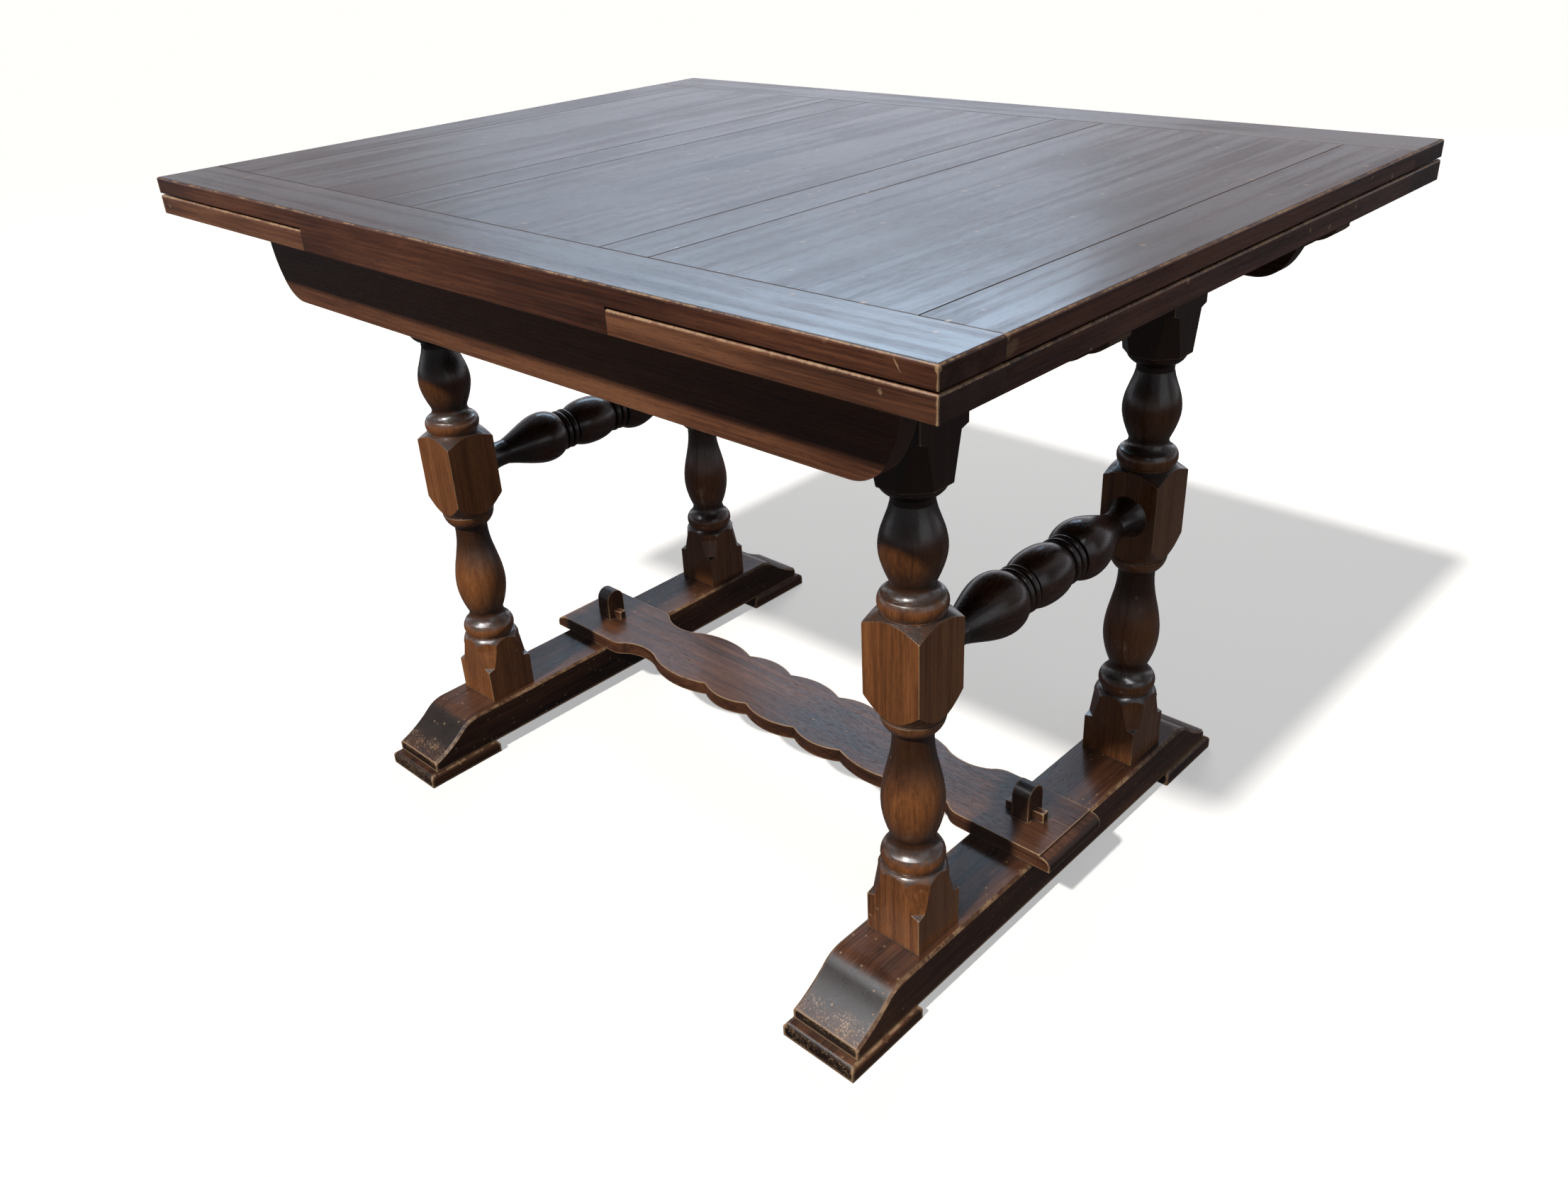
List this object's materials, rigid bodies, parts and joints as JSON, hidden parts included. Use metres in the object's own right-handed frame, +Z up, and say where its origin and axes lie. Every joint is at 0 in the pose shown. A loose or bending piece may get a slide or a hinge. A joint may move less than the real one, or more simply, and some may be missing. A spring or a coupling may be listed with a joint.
{
  "type": "draw-leaf table",
  "caption": "Dark oak draw-leaf table: turned trestle legs on sledge feet, scalloped floor stretcher, shaped aprons, framed top with leaves that slide out from under it.",
  "frame": {"origin": "on the floor under the middle of the table, at the bottom centre of the bounding box", "axes": "+X along the way the right leaf draws out, +Y from front to back, +Z up"},
  "size_m": [1.076, 0.813, 0.762],
  "materials": {
    "top_oak": "dark stain, semi-gloss wax polish",
    "frame_oak": "dark stain, satin",
    "turned_oak": "dark stain, semi-gloss",
    "base_oak": "dark stain, worn semi-gloss",
    "inner_oak": "plain, unpolished"
  },
  "bodies": {
    "frame": {"apron_back": "frame_oak", "apron_front": "frame_oak", "centre_board": "inner_oak", "corner_block_left_back": "inner_oak", "corner_block_left_front": "inner_oak", "corner_block_right_back": "inner_oak", "corner_block_right_front": "inner_oak", "cross_stretcher_left": "turned_oak", "cross_stretcher_right": "turned_oak", "floor_stretcher": "base_oak", "foot_left": "base_oak", "foot_pad_left_back": "base_oak", "foot_pad_left_front": "base_oak", "foot_pad_right_back": "base_oak", "foot_pad_right_front": "base_oak", "foot_right": "base_oak", "glue_block_left_back": "inner_oak", "glue_block_left_front": "inner_oak", "glue_block_right_back": "inner_oak", "glue_block_right_front": "inner_oak", "head_rail_left": "frame_oak", "head_rail_right": "frame_oak", "leg_left_back": "turned_oak", "leg_left_front": "turned_oak", "leg_right_back": "turned_oak", "leg_right_front": "turned_oak", "tusk_peg_left": "base_oak", "tusk_peg_right": "base_oak", "tusk_wedge_left": "base_oak", "tusk_wedge_right": "base_oak"},
    "main_top": {"guide_peg_back": "inner_oak", "guide_peg_front": "inner_oak", "keeper_pin_back": "inner_oak", "keeper_pin_front": "inner_oak", "top_cleat_left": "top_oak", "top_cleat_right": "top_oak", "top_muntin_left": "top_oak", "top_muntin_right": "top_oak", "top_panel_left": "top_oak", "top_panel_middle": "top_oak", "top_panel_right": "top_oak", "top_rail_back": "top_oak", "top_rail_front": "top_oak"},
    "leaf_left": {"leaf_left_border_back": "top_oak", "leaf_left_border_front": "top_oak", "leaf_left_border_outer": "top_oak", "leaf_left_loper_back": "inner_oak", "leaf_left_loper_front": "inner_oak", "leaf_left_panel": "top_oak", "leaf_left_stop_peg_back": "inner_oak", "leaf_left_stop_peg_front": "inner_oak"},
    "leaf_right": {"leaf_right_border_back": "top_oak", "leaf_right_border_front": "top_oak", "leaf_right_border_outer": "top_oak", "leaf_right_loper_back": "inner_oak", "leaf_right_loper_front": "inner_oak", "leaf_right_panel": "top_oak", "leaf_right_stop_peg_back": "inner_oak", "leaf_right_stop_peg_front": "inner_oak"}
  },
  "joints": [
    {"name": "leaf_left_draw", "type": "slide", "parent": "frame", "child": "leaf_left", "axis": [-1, 0, 0], "range_m": [0, 0.31]},
    {"name": "leaf_right_draw", "type": "slide", "parent": "frame", "child": "leaf_right", "axis": [1, 0, 0], "range_m": [0, 0.31]},
    {"name": "top_lift", "type": "slide", "parent": "frame", "child": "main_top", "axis": [0, 0, 1], "range_m": [0, 0.022]}
  ]
}
